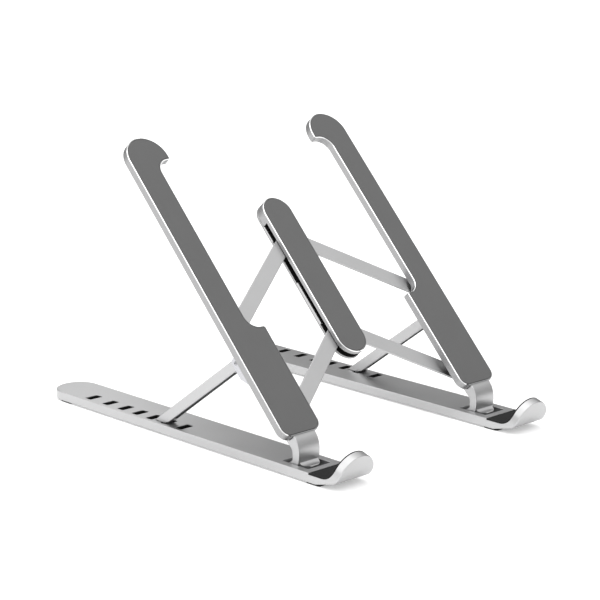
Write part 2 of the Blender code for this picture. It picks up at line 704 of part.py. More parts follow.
def bent_plate(name, start, end, top_drop, base_drop, extra=0.0, round_start=True):
    """A strip that follows the rail's path, from v = start to the lip's tip, v = end.

    Each cross-section is a rectangle; the sections narrow to nothing at a round end.
    """
    radius = RAIL_WIDTH / 2 + extra
    stations = set()
    steps = 12
    for k in range(steps + 1):
        reach = radius * (1 - cos(pi / 2 * k / steps))
        stations.add(round(end - reach, 5))
        if round_start:
            stations.add(round(start + reach, 5))
    stations.add(start)
    for k in range(13):
        v = BEND_RADIUS * BEND_ANGLE * k / 12
        if start < v < end and min(abs(v - other) for other in stations) > 0.35:
            stations.add(v)
    mesh = bpy.data.meshes.new(name)
    form = bmesh.new()
    rings = []
    for v in sorted(stations):
        half = radius
        tip_gap = end - v
        if tip_gap < radius:
            half = sqrt(max(0.0, radius ** 2 - (radius - tip_gap) ** 2))
        if round_start and v - start < radius:
            half = sqrt(max(0.0, radius ** 2 - (radius - (v - start)) ** 2))
        corners = []
        for x, drop in ((-half, base_drop), (half, base_drop), (half, top_drop), (-half, top_drop)):
            y, z = top_path(v, drop)
            corners.append(form.verts.new((x * MM, y * MM, z * MM)))
        rings.append(corners)
    for ring, following in zip(rings, rings[1:]):
        for k in range(4):
            j = (k + 1) % 4
            form.faces.new((ring[k], ring[j], following[j], following[k]))
    form.faces.new(rings[0][::-1])
    form.faces.new(rings[-1])
    bmesh.ops.remove_doubles(form, verts=form.verts, dist=1e-6)
    bmesh.ops.dissolve_degenerate(form, dist=1e-7, edges=form.edges)
    bmesh.ops.recalc_face_normals(form, faces=form.faces)
    form.to_mesh(mesh)
    form.free()
    return mesh_object(name, mesh)


def foot_outline(y, grow=0.0):
    """Outline of a rubber foot whose middle is at y."""
    half, reach = FOOT_PAD_WIDTH / 2 + grow, FOOT_PAD_LENGTH / 2 + grow
    return box_outline(-half, half, y - reach, y + reach, FOOT_PAD_CORNER + grow)


def make_rail(side_name, side, arm_body):
    centre = side * HALF_SPACING
    hinge_s, hinge_h = in_plane(HINGE_Y, HINGE_Z)
    body = Body(f"rail_{side_name}_axis", (centre, hinge_s, hinge_h), arm_body, -SLOPE)
    body.origin = Vector((centre, HINGE_Y, HINGE_Z))

    rail = bent_plate(f"rail_{side_name}", BEND_START - RAIL_REAR, LIP_LENGTH, 0.0, RAIL_THICK)
    recess = bent_plate(f"hook_recess_{side_name}", BEND_START - HOOK_PAD_REAR, LIP_LENGTH + 2.0,
                        -2.0, HOOK_PAD_THICK + GAP, 1.5, round_start=False)
    for item in (rail, recess):
        shifted(item, centre, 0.0, 0.0)
    window = plate(f"rail_window_{side_name}",
                   box_outline(centre - WINDOW_HALF, centre + WINDOW_HALF, WINDOW_FRONT,
                               WINDOW_REAR, 1.0), -1.0, RAIL_THICK + 1.0)
    tools = [recess, window]
    outer = centre + side * (RAIL_WIDTH / 2 - SLOT_EDGE)
    inner = outer - side * SLOT_WIDTH
    for index, rear in enumerate(SLOT_REAR_EDGES):
        tools.append(plate(f"rail_slot_{side_name}_{index}",
                           box_outline(min(inner, outer), max(inner, outer),
                                       rear - SLOT_LENGTH, rear, 0.9),
                           RAIL_THICK - SLOT_DEPTH, RAIL_THICK + 1.0))
    for name, y in FOOT_PAD_CENTRES.items():
        pocket = plate(f"foot_pocket_{side_name}_{name}", foot_outline(y, GAP), -1.0,
                       FOOT_PAD_SUNK + GAP)
        tools.append(shifted(pocket, centre, 0.0, 0.0))
    reach = WINDOW_HALF + HINGE_PIN_REACH
    bore = along_x(drill(f"rail_bore_{side_name}", HINGE_PIN_RADIUS + GAP, -reach - GAP,
                         reach + GAP, 0.0, 0.0))
    tools.append(shifted(bore, centre, HINGE_Y, HINGE_Z))
    for tool in tools:
        combine(rail, tool)
    body.add(rail, ALUMINIUM, tools)

    pad = bent_plate(f"hook_pad_{side_name}", BEND_START - HOOK_PAD_REAR + GAP, LIP_LENGTH,
                     0.0, HOOK_PAD_THICK, 0.0, round_start=False)
    body.add(shifted(pad, centre, 0.0, 0.0), PAD_BLACK)

    axle = along_x(pin(f"hinge_pin_{side_name}", HINGE_PIN_RADIUS, -reach, reach))
    body.add(shifted(axle, centre, HINGE_Y, HINGE_Z), STEEL)

    for name, y in FOOT_PAD_CENTRES.items():
        foot = plate(f"rail_foot_{name}_{side_name}", foot_outline(y), -FOOT_HEIGHT,
                     FOOT_PAD_SUNK)
        body.add(shifted(foot, centre, 0.0, 0.0), PAD_BLACK)


# ---------------------------------------------------------------- assembly

make_bar()
for side_name, side, lower_top in (("left", -1, LINK_TOP_HIGH), ("right", 1, LINK_TOP_LOW)):
    upper_link = make_link("upper", side_name, side, UPPER_BAR_PIVOT, LINK_TOP_HIGH)
    make_link("lower", side_name, side, LOWER_BAR_PIVOT, lower_top)
    arm = make_arm(side_name, side, upper_link, lower_top)
    make_bracket(side_name, side, arm)
    make_strut(side_name, side, arm)
    make_rail(side_name, side, arm)

closed_angle = acos((ARM_CLOSED - UPPER_ARM_INSET - UPPER_BAR_PIVOT[0]) / LINK_LENGTH)
print("link swing to closed, degrees:", round(degrees(closed_angle - LINK_ANGLE), 3))
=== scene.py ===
"""Looks of the folding laptop stand: bead-blasted aluminium, silicone pads and steel pins.

Lengths in the constants are millimetres. Two frames are used, as in the CAD model: the ground
frame (x across, y to the rear from the lip's bend, z above the rails' underside) and the plane
frame of the sloping arms (x across, s up the arm, h out of the pads).
"""

from math import asin, atan2, cos, hypot, pi, radians, sin

import bmesh
import bpy
from mathutils import Matrix, Vector


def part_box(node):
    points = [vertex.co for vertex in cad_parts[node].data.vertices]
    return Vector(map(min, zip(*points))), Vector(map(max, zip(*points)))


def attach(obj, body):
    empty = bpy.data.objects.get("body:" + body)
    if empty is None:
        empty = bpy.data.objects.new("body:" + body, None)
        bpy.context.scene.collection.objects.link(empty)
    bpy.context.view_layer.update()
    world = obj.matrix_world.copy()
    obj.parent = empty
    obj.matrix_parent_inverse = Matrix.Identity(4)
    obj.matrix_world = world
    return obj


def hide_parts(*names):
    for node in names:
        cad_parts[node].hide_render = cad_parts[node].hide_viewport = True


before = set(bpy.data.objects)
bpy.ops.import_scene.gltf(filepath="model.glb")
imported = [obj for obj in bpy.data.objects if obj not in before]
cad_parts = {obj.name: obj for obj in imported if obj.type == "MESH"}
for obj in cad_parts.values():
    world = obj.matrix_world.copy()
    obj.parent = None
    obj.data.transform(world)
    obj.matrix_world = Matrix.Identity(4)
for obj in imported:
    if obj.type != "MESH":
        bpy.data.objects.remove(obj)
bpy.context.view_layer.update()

MM = 0.001

# base rails
RAIL_SPACING = 144.0            # between the rails' centre lines
RAIL_HALF = 13.3
RAIL_THICK = 5.4
RAIL_EDGE = 0.5                 # radius of the rails' rounded edges
RAIL_REAR = 234.7               # rear end, measured from the lip's bend
FOOT_HEIGHT = 0.8
BEND_START = -0.7               # where the flat rail starts to curl up
BEND_RADIUS = 9.4               # on the padded side
BEND_ANGLE = radians(72)
LIP_LENGTH = 19.9               # from the bend's start to the tip, along the padded side
HOOK_PAD_REAR = 9.0
HOOK_PAD_THICK = 0.8
HOOK_RECESS = 0.95              # depth of the recess that the lip's lining lies in
WINDOW_FRONT = 13.7
WINDOW_REAR = 33.9
WINDOW_HALF = 8.35
WINDOW_CORNER = 1.0
WINDOW_SHADE_SHEETS = ((WINDOW_FRONT + 0.05, 22.3), (31.8, WINDOW_REAR - 0.05))   # clear of the hinge
SLOT_REAR_EDGES = (201.3, 185.4, 171.3, 158.2, 145.4, 132.5, 119.1)
SLOT_LENGTH = 5.5
SLOT_WIDTH = 9.3
SLOT_EDGE = 2.2                 # from the rail's outer edge
SLOT_DEPTH = 3.2
SLOT_CORNER = 0.9
CATCH_SIZE = 0.6                # of the small post in each slot
CATCH_SHIFT = 6.4               # from the slot's outer edge
CATCH_BACK = 2.3                # from the slot's rear edge
FOOT_PAD_LENGTH = 10.4
FOOT_PAD_WIDTH = 25.2
FOOT_PAD_CORNER = 1.5
FOOT_PAD_CENTRES = {"front": 6.8, "rear": 218.0}

# sloping plane of the arms
SLOPE = radians(46.63)
PLANE_Y = 25.8                  # the pads' lower edge, measured as RAIL_REAR is
PLANE_Z = 21.6                  # above the rails' underside

# arms
ARM_HALF = 14.1
ARM_THICK = 5.0
ARM_BOTTOM = -0.6
ARM_TOP = 197.4
ARM_CORNER = 6.0
RIM_TOP = -0.2
CHAMFER = 0.4                   # the bright cut edge round each pad
PAD_THICK = 1.0
PAD_EDGE = 0.22
POCKET_INSET = 0.62             # of the pad's recess, inwards of the outline
PAD_INSET = 0.92
NOTCH_LOW = 66.2
NOTCH_HIGH = 180.5
NOTCH_EDGE = -3.55              # the narrow stretch's inner edge, from the arm's centre line
NOTCH_RADIUS = 8.1
NOTCH_CORNER = 1.2

# centre bar
BAR_HALF = 10.5
BAR_LOW = 38.3
BAR_HIGH = 146.4
BAR_PAD_TOP = -2.7
BAR_PLATE_BASE = -5.8
BAR_COVER_TOP = -9.35
BAR_COVER_BASE = -10.9
BAR_WALL = 1.2
BAR_END_BLOCK = 131.6           # the closed upper end starts here
BAR_LIPS = ((63.0, 91.3, 1.05), (120.5, 131.2, 0.45))      # from, to, height
BAR_BOSS = 84.0
BAR_BOSS_RADIUS = 2.8
BAR_SCREWS = {"upper": 139.5, "lower": BAR_BOSS}

# cross links
LINK_ANGLE = radians(35)        # below the x direction, going outwards
LINK_WIDTH = 9.5
LINK_THICK = 1.3
LINK_TOP_HIGH = -6.1            # the upper layer
LINK_TOP_LOW = -7.7             # the lower layer, which passes below the upper one
UPPER_BAR_PIVOT = (5.6, 117.2)
LOWER_BAR_PIVOT = (0.0, 58.8)
UPPER_ARM_INSET = 1.2           # the upper arm pivot, inwards of the arm's centre line
PIVOT_RADIUS = 1.8
PIVOT_HEAD = 2.8

# legs, struts and brackets
HINGE_Y = 28.6
HINGE_Z = 2.5
KNUCKLE_RADIUS = 2.7
LEG_HALF = 8.0
LEG_EDGE = 0.55
LEG_BEND_END = 3.0              # the full-width neck ends here, under the arm
NECK_FRONT = 21.5               # the neck's foremost point, at NECK_LEVEL
NECK_LEVEL = 11.3
NECK_TOP = 20.6
NECK_RADII = (13.0, 30.0)       # above and below NECK_LEVEL
NECK_LOW = 2.4
TOE_HALF = 7.0
TOE_FRONT = 17.3                # the neck's foot flares forwards to here, in the window
TOE_REAR = 25.0
TOE_TOP = 4.9
TOE_THICK = 1.7
TOE_EDGE = 0.8
TOE_RADIUS = 4.0                # of the hollow between neck and toe
TOE_CORNER = 5.8
TONGUE_INNER = -1.0
TONGUE_TOP = 20.0
TONGUE_THICK = 2.2
LEG_SCREWS = (6.0, 16.0)
LEG_SCREW_OUT = 3.6
STRUT_OUT = 6.9                 # outwards of the arm's centre line
STRUT_WIDTH = 5.6
STRUT_DEPTH = 6.1
STRUT_PIVOT = (51.8, -8.6)      # s and h
STRUT_WALL = 0.9
STRUT_WEB = 2.4                 # under the trough
STRUT_FOOT_Y = 133.3
STRUT_SLOT = 5                  # the slot that holds the foot, in SLOT_REAR_EDGES
STRUT_TOE = (0.5, 3.6)          # rear and front of the toe, from the slot's rear edge
STRUT_TOE_DEPTH = 1.5
EAR_THICK = 1.5
BRACKET_LOW = 37.0
BRACKET_BASE_END = 47.6
BRACKET_BASE_THICK = 2.0
BRACKET_SCREW = 41.5
SCREW_RADIUS = 1.3
SCREW_HEAD = 2.3
SCREW_HEAD_THICK = 1.1
CLEAR = 0.3

HALF_SPACING = RAIL_SPACING / 2
LINK_LENGTH = (HALF_SPACING - UPPER_ARM_INSET - UPPER_BAR_PIVOT[0]) / cos(LINK_ANGLE)
LINK_DROP = LINK_LENGTH * sin(LINK_ANGLE)
LOWER_ARM_INSET = UPPER_ARM_INSET + UPPER_BAR_PIVOT[0] - LOWER_BAR_PIVOT[0]

# studio
BRIGHT_SIDE = (-0.9, -0.44, 0.0)
SIDE_LIGHT = (0.12, 1.15)       # strength of the sky away from the bright side, and towards it
TOP_LIGHT = 1.15
TOP_HEIGHTS = (0.25, 0.75)      # where the sky turns from side light to top light
FLOOR_TONE = 0.85
FLOOR_GLOW = 0.25
SUN_POWER = 1.3
SUN_ANGLE = radians(70)

# camera
AZIMUTH = radians(-44.27)
ELEVATION = radians(13.52)
ROLL = radians(0.23)
DISTANCE = 1.1593               # metres
LENS = 119.4
TARGET = (0.0, 103.2, 68.8)     # in the ground frame

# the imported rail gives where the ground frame's origin lies
RAIL_BOX_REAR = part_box("rail_left")[1][1] / MM
Y_SHIFT = RAIL_BOX_REAR - RAIL_REAR

GROUND = Matrix.Translation((0.0, Y_SHIFT * MM, FOOT_HEIGHT * MM)) @ Matrix.Scale(MM, 4)
PLANE = GROUND @ Matrix.Translation((0.0, PLANE_Y, PLANE_Z)) @ Matrix.Rotation(SLOPE, 4, "X")
# outlines drawn in (y, z) or (s, h) and made solid along x
ON_SIDE = Matrix(((0, 0, 1, 0), (1, 0, 0, 0), (0, 1, 0, 0), (0, 0, 0, 1)))


def from_plane(s, h):
    return PLANE_Y + s * cos(SLOPE) - h * sin(SLOPE), PLANE_Z + s * sin(SLOPE) + h * cos(SLOPE)


def in_plane(y, z):
    dy, dz = y - PLANE_Y, z - PLANE_Z
    return dy * cos(SLOPE) + dz * sin(SLOPE), -dy * sin(SLOPE) + dz * cos(SLOPE)


# ---------------------------------------------------------------- materials

MOTTLE_SCALE = 60.0             # of the slow drifts of tone


def node_material(name, colour, metallic, roughness):
    mat = bpy.data.materials.new(name)
    mat.use_nodes = True
    shader = mat.node_tree.nodes["Principled BSDF"]
    shader.inputs["Base Color"].default_value = (*colour, 1.0)
    shader.inputs["Metallic"].default_value = metallic
    shader.inputs["Roughness"].default_value = roughness
    return mat, mat.node_tree, shader


def noise(tree, scale, detail, coords):
    node = tree.nodes.new("ShaderNodeTexNoise")
    node.inputs["Scale"].default_value = scale
    node.inputs["Detail"].default_value = detail
    tree.links.new(coords.outputs["Object"], node.inputs["Vector"])
    return node


def ranged(tree, source, low, high):
    node = tree.nodes.new("ShaderNodeMapRange")
    node.inputs["To Min"].default_value = low
    node.inputs["To Max"].default_value = high
    tree.links.new(source, node.inputs["Value"])
    return node.outputs["Result"]


def bumped(tree, shader, source, strength, distance):
    node = tree.nodes.new("ShaderNodeBump")
    node.inputs["Strength"].default_value = strength
    node.inputs["Distance"].default_value = distance
    tree.links.new(source, node.inputs["Height"])
    tree.links.new(node.outputs["Normal"], shader.inputs["Normal"])


def tinted(tree, shader, source, dark, light):
    node = tree.nodes.new("ShaderNodeMix")
    node.data_type = "RGBA"
    node.inputs["A"].default_value = (*dark, 1.0)
    node.inputs["B"].default_value = (*light, 1.0)
    tree.links.new(source, node.inputs["Factor"])
    tree.links.new(node.outputs["Result"], shader.inputs["Base Color"])


def grained(name, dark, light, metallic, rough, grain_scale, bump, specular=0.5):
    """A surface with fine grain in its height and slow drifts of tone and roughness."""
    middle = [(a + b) / 2 for a, b in zip(dark, light)]
    mat, tree, shader = node_material(name, middle, metallic, sum(rough) / 2)
    shader.inputs["Specular IOR Level"].default_value = specular
    coords = tree.nodes.new("ShaderNodeTexCoord")
    mottle = noise(tree, MOTTLE_SCALE, 3.0, coords)
    grain = noise(tree, grain_scale, 2.0, coords)
    tinted(tree, shader, mottle.outputs["Fac"], dark, light)
    tree.links.new(ranged(tree, mottle.outputs["Fac"], *rough), shader.inputs["Roughness"])
    bumped(tree, shader, grain.outputs["Fac"], 1.0, bump)
    return mat


SATIN = grained("blasted_aluminium", (0.47, 0.47, 0.473), (0.505, 0.505, 0.507), 1.0, (0.34, 0.42),
                3200.0, 0.000006)
# A darker copy of the same blasted aluminium: painted shade, on the arms, the centre bar and inside the
# struts' troughs.
SATIN_PAINTED_SHADE = grained("blasted_aluminium_painted_shade", (0.33, 0.33, 0.333), (0.365, 0.365, 0.367), 1.0,
                    (0.34, 0.42), 3200.0, 0.000006)
CUT = grained("cut_aluminium", (0.78, 0.78, 0.785), (0.84, 0.84, 0.84), 1.0, (0.14, 0.2),
              1500.0, 0.000001)
STEEL = grained("turned_steel", (0.45, 0.45, 0.47), (0.54, 0.54, 0.56), 1.0, (0.2, 0.3),
                2200.0, 0.000002)
GREY_SILICONE = grained("grey_silicone", (0.084, 0.084, 0.084), (0.095, 0.095, 0.095), 0.0,
                        (0.62, 0.7), 4200.0, 0.00001)
BLACK_SILICONE = grained("black_silicone", (0.003, 0.003, 0.003), (0.005, 0.005, 0.005), 0.0,
                         (0.6, 0.7), 3600.0, 0.000012, 0.25)
# Near-black sheets of painted shade: in the gap between the bar's plate and cover, in the rails' slots
# and across their windows.
BLACK_PAINTED_SHADE = grained("black_painted_shade", (0.006, 0.006, 0.006), (0.01, 0.01, 0.01), 0.0,
                      (0.55, 0.65), 3000.0, 0.000008, 0.2)
NYLON = grained("nylon", (0.02, 0.02, 0.02), (0.03, 0.03, 0.03), 0.0, (0.4, 0.5), 2600.0, 0.000006)


# ---------------------------------------------------------------- outlines

def arc(centre, radius, start, end, steps):
    return [(centre[0] + radius * cos(start + (end - start) * k / steps),
             centre[1] + radius * sin(start + (end - start) * k / steps))
            for k in range(steps + 1)]


def rounded(corners, steps=8):
    """Points of a closed outline; each corner is (a, b, fillet radius)."""
    points = []
    count = len(corners)
    for i, (a, b, radius) in enumerate(corners):
        if radius < 0.01:
            points.append((a, b))
            continue
        here = Vector((a, b))
        before = (Vector(corners[i - 1][:2]) - here).normalized()
        after = (Vector(corners[(i + 1) % count][:2]) - here).normalized()
        half = before.angle(after) / 2
        reach = radius * cos(half) / sin(half)
        centre = here + (before + after).normalized() * (radius / sin(half))
        first, last = here + before * reach - centre, here + after * reach - centre
        turn = -first.angle_signed(last)
        start = atan2(first.y, first.x)
        points += arc(centre, radius, start, start + turn, steps)
    return tidy_outline(points)


def tidy_outline(points):
    """Drops repeated points and makes the outline run anticlockwise."""
    kept = []
    for point in points:
        if not kept or hypot(point[0] - kept[-1][0], point[1] - kept[-1][1]) > 0.02:
            kept.append(tuple(point))
    if hypot(kept[0][0] - kept[-1][0], kept[0][1] - kept[-1][1]) < 0.02:
        kept.pop()
    area = sum(a[0] * b[1] - b[0] * a[1] for a, b in zip(kept, kept[1:] + kept[:1]))
    return kept if area > 0 else kept[::-1]


def shrunk(points, inset):
    """The outline moved inwards by inset at every edge."""
    moved = []
    count = len(points)
    for i, (a, b) in enumerate(points):
        last, coming = points[i - 1], points[(i + 1) % count]
        before = Vector((a - last[0], b - last[1])).normalized()
        after = Vector((coming[0] - a, coming[1] - b)).normalized()
        first, second = Vector((-before.y, before.x)), Vector((-after.y, after.x))
        shift = (first + second) / (1 + first.dot(second)) * inset
        moved.append((a + shift.x, b + shift.y))
    return moved


def mirrored(points, side, centre):
    """The outline moved to centre, and flipped across it where side is -1."""
    return tidy_outline([(centre + side * a, b) for a, b in points])


def stadium(half, low, high, steps=20):
    """A long outline with round ends, centred on x = 0."""
    return rounded([(half, low, half), (half, high, half), (-half, high, half),
                    (-half, low, half)], steps)


def rectangle(a0, a1, b0, b1, radius=0.0, steps=5):
    low, high = min(a0, a1), max(a0, a1)
    return rounded([(low, b0, radius), (high, b0, radius), (high, b1, radius),
                    (low, b1, radius)], steps)


def circle(radius, a=0.0, b=0.0, steps=40):
    return tidy_outline(arc((a, b), radius, 0.0, 2 * pi, steps))


def soft_profile(low, high, radius, steps=3):
    """A straight wall between two rounded edges, as (inset, level) from low to high."""
    turn = [pi / 2 * k / steps for k in range(steps + 1)]
    lower = [(radius * (1 - sin(t)), low + radius * (1 - cos(t))) for t in turn]
    upper = [(radius * (1 - sin(t)), high - radius * (1 - cos(t))) for t in reversed(turn)]
    return lower + upper


# ---------------------------------------------------------------- solids

def finished(name, mats, form, place):
    """Turns a bmesh into a smooth-shaded object whose flat faces stay flat."""
    bmesh.ops.remove_doubles(form, verts=form.verts, dist=0.0005)
    bmesh.ops.recalc_face_normals(form, faces=form.faces)
    mesh = bpy.data.meshes.new(name)
    form.to_mesh(mesh)
    form.free()
    mesh.transform(place)
    for mat in mats:
        mesh.materials.append(mat)
    obj = bpy.data.objects.new(name, mesh)
    bpy.context.scene.collection.objects.link(obj)
    return obj


def moulding(name, points, profile, place, mats, bands=None, caps=(0, 0)):
    """A solid whose wall follows the profile's (inset, level) points round the outline.

    bands gives the material number of each stretch of the profile; caps, of the two ends.
    """
    form = bmesh.new()
    rings = [[form.verts.new((a, b, level)) for a, b in shrunk(points, inset)]
             for inset, level in profile]
    count = len(points)
    for index, (ring, following) in enumerate(zip(rings, rings[1:])):
        for k in range(count):
            j = (k + 1) % count
            face = form.faces.new((ring[k], ring[j], following[j], following[k]))
            face.material_index = bands[index] if bands else 0
    ends = []
    for ring, slot in zip((rings[0][::-1], rings[-1]), caps):
        ends.append(form.faces.new(ring))
        ends[-1].material_index = slot
    form.normal_update()
    bmesh.ops.triangulate(form, faces=ends, ngon_method="EAR_CLIP")
    return finished(name, mats, form, place)


def shaded(obj, angle=32):
    """Smooth shading with sharp edges kept, after all cuts are made."""
    apply_modifiers(obj)
    obj.data.shade_smooth()
    obj.data.set_sharp_from_angle(angle=radians(angle))
    weighted = obj.modifiers.new("Weighted", "WEIGHTED_NORMAL")
    weighted.keep_sharp = True
    weighted.weight = 100
    return obj


def apply_modifiers(obj):
    bpy.context.view_layer.update()
    graph = bpy.context.evaluated_depsgraph_get()
    mesh = bpy.data.meshes.new_from_object(obj.evaluated_get(graph))
    obj.modifiers.clear()
    obj.data = mesh


def cut(obj, tools, operation="DIFFERENCE"):
    """Cuts each tool from the piece, or joins it on, and deletes the tools."""
    for tool in tools:
        boolean = obj.modifiers.new("Cut", "BOOLEAN")
        boolean.operation = operation
        boolean.solver = "EXACT"
        boolean.object = tool
        boolean.material_mode = "TRANSFER"
        apply_modifiers(obj)
        bpy.data.objects.remove(tool, do_unlink=True)
    return obj


def cutter(points, low, high, place, mat, flare_top=0.0, flare_low=0.0):
    """A cutting solid; a flare breaks the edge that it leaves at its top or bottom."""
    over = 0.2
    profile = [(0.0, low)]
    if flare_low:
        profile = [(-flare_low - over, low - over), (0.0, low + flare_low)]
    if flare_top:
        profile += [(0.0, high - flare_top), (-flare_top - over, high + over)]
    else:
        profile.append((0.0, high))
    return moulding("cutter", points, profile, place, [mat])


def joined(name, objects):
    """One object from several separate solids."""
    form = bmesh.new()
    mats = []
    for obj in objects:
        apply_modifiers(obj)
        start = len(form.faces)
        form.from_mesh(obj.data)
        form.faces.ensure_lookup_table()
        for mat in obj.data.materials:
            if mat not in mats:
                mats.append(mat)
        own = [mats.index(mat) for mat in obj.data.materials]
        for face in form.faces[start:]:
            face.material_index = own[face.material_index]
        bpy.data.objects.remove(obj, do_unlink=True)
    mesh = bpy.data.meshes.new(name)
    form.to_mesh(mesh)
    form.free()
    for mat in mats:
        mesh.materials.append(mat)
    result = bpy.data.objects.new(name, mesh)
    bpy.context.scene.collection.objects.link(result)
    return result


def place_piece(obj, body, slot, *nodes):
    """Gives a piece its body and material slot, and hides the CAD nodes it stands for."""
    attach(obj, body)
    if nodes:
        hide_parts(*nodes)


# ---------------------------------------------------------------- fasteners

def rivet(name, x, s, low, high, head_thick, head_radius, radius):
    """A pin along h with a domed head at its low end."""
    edge = 0.2
    head = [(head_radius * 0.45, low), (edge * 2, low + 0.08), (edge * 0.4, low + edge * 0.7),
            (0.0, low + edge * 1.6), (0.0, low + head_thick - 0.05), (0.05, low + head_thick)]
    step = head_radius - radius
    shank = [(step, low + head_thick), (step, high - 0.1), (step + 0.1, high)]
    return moulding(name, circle(head_radius, x, s), head + shank, PLANE, [STEEL])


def screw(name, x, s, low, high):
    """A countersunk-looking screw with a cross recess in its head."""
    obj = rivet(name, x, s, low, high, SCREW_HEAD_THICK, SCREW_HEAD, SCREW_RADIUS)
    long, wide, deep = 1.35, 0.32, 0.75
    cross = [cutter(rectangle(x - a, x + a, s - b, s + b), low - 0.5, low + deep, PLANE, STEEL)
             for a, b in ((long, wide), (wide, long))]
    return shaded(cut(obj, cross))


# ---------------------------------------------------------------- centre bar

def make_bar():
    outline = stadium(BAR_HALF, BAR_LOW, BAR_HIGH, 24)
    top = BAR_PAD_TOP + RIM_TOP
    floor = BAR_PAD_TOP - PAD_THICK - 0.1
    edge = soft_profile(BAR_PLATE_BASE, top, 0.2)[:4]
    profile = edge + [(0.0, top - CHAMFER), (CHAMFER, top), (POCKET_INSET, top),
                      (POCKET_INSET, floor)]
    bands = [0] * 4 + [1, 0, 0]
    # The plate's underside is black painted shade facing the gap; its aluminium is the darker
    # painted-shade copy.
    plate = moulding("bar_plate", outline, profile, PLANE, [SATIN_PAINTED_SHADE, CUT, BLACK_PAINTED_SHADE], bands,
                     (2, 0))
    block_outline = rounded([(BAR_HALF - 0.02, BAR_END_BLOCK, 0.0),
                             (BAR_HALF - 0.02, BAR_HIGH - 0.02, BAR_HALF - 0.05),
                             (-BAR_HALF + 0.02, BAR_HIGH - 0.02, BAR_HALF - 0.05),
                             (-BAR_HALF + 0.02, BAR_END_BLOCK, 0.0)], 20)
    block = moulding("block", block_outline, [(0.3, BAR_COVER_TOP + 0.05), (0.0, BAR_COVER_TOP + 0.3),
                                              (0.0, BAR_PLATE_BASE + 1.0)], PLANE, [SATIN_PAINTED_SHADE])
    # The boss in the gap between plate and cover is black painted shade.
    boss = moulding("boss", circle(BAR_BOSS_RADIUS, 0.0, BAR_BOSS),
                    [(0.0, BAR_COVER_TOP + 0.1), (0.0, BAR_PLATE_BASE + 0.8)], PLANE, [BLACK_PAINTED_SHADE])
    cut(plate, [block, boss], "UNION")
    shaded(plate)
    place_piece(plate, "bar", "aluminium", "bar_top_plate")

    pad = moulding("bar_silicone_pad", shrunk(outline, PAD_INSET),
                   soft_profile(BAR_PAD_TOP - PAD_THICK, BAR_PAD_TOP, PAD_EDGE), PLANE,
                   [GREY_SILICONE])
    shaded(pad)
    place_piece(pad, "bar", "pad_grey", "bar_pad")

    # The cover's top face is black painted shade facing the gap; its aluminium is the darker
    # painted-shade copy.
    cover = moulding("bar_cover", outline, soft_profile(BAR_COVER_BASE, BAR_COVER_TOP, 0.4), PLANE,
                     [SATIN_PAINTED_SHADE, CUT, BLACK_PAINTED_SHADE], None, (0, 2))
    lips = []
    for low, high, rise in BAR_LIPS:
        for side in (-1, 1):
            inner = side * (BAR_HALF - BAR_WALL)
            outer = side * (BAR_HALF - 0.01)
            lips.append(moulding("lip", rectangle(inner, outer, low, high),
                                 [(0.0, BAR_COVER_TOP - 0.6), (0.0, BAR_COVER_TOP + rise - 0.1),
                                  (0.1, BAR_COVER_TOP + rise)], PLANE, [SATIN], None))
    cut(cover, lips, "UNION")
    holes = [cutter(circle(SCREW_HEAD + CLEAR, 0.0, s, 32), BAR_COVER_BASE,
                    BAR_COVER_BASE + SCREW_HEAD_THICK, PLANE, SATIN, 0.0, 0.15)
             for s in BAR_SCREWS.values()]
    cut(cover, holes)
    shaded(cover)
    place_piece(cover, "bar", "aluminium", "bar_bottom_cover")

    for name, s in BAR_SCREWS.items():
        piece = screw(f"bar_cover_screw_{name}", 0.0, s, BAR_COVER_BASE + 0.1, BAR_PLATE_BASE - 0.6)
        place_piece(piece, "bar", "steel", f"bar_screw_{name}")


# ---------------------------------------------------------------- cross links

def make_link(level, side_name, side, pivot, top):
    turn = -LINK_ANGLE if side > 0 else pi + LINK_ANGLE
    ends = arc((0.0, 0.0), LINK_WIDTH / 2, pi / 2, 3 * pi / 2, 20)
    ends += arc((LINK_LENGTH, 0.0), LINK_WIDTH / 2, -pi / 2, pi / 2, 20)
    base_x, base_s = side * pivot[0], pivot[1]
    outline = tidy_outline([(base_x + a * cos(turn) - b * sin(turn),
                             base_s + a * sin(turn) + b * cos(turn)) for a, b in ends])
    link = moulding(f"cross_link_{level}_{side_name}", outline,
                    soft_profile(top - LINK_THICK, top, 0.22, 2), PLANE, [SATIN])
    holes = [cutter(circle(PIVOT_RADIUS + 0.15, base_x + reach * cos(turn),
                           base_s + reach * sin(turn), 28), top - LINK_THICK, top, PLANE, SATIN,
                    0.12, 0.12) for reach in (0.0, LINK_LENGTH)]
    shaded(cut(link, holes))
    place_piece(link, f"{level}_link_{side_name}", "aluminium", f"{level}_link_{side_name}")


# ---------------------------------------------------------------- arms

def arm_outline(side):
    corners = [(ARM_HALF, ARM_BOTTOM, ARM_CORNER), (ARM_HALF, ARM_TOP, ARM_HALF),
               (-ARM_HALF, ARM_TOP, ARM_HALF), (-ARM_HALF, NOTCH_HIGH, NOTCH_CORNER),
               (NOTCH_EDGE, NOTCH_HIGH, NOTCH_RADIUS), (NOTCH_EDGE, NOTCH_LOW, NOTCH_RADIUS),
               (-ARM_HALF, NOTCH_LOW, NOTCH_CORNER), (-ARM_HALF, ARM_BOTTOM, ARM_CORNER)]
    return mirrored(rounded(corners, 16), side, side * HALF_SPACING)


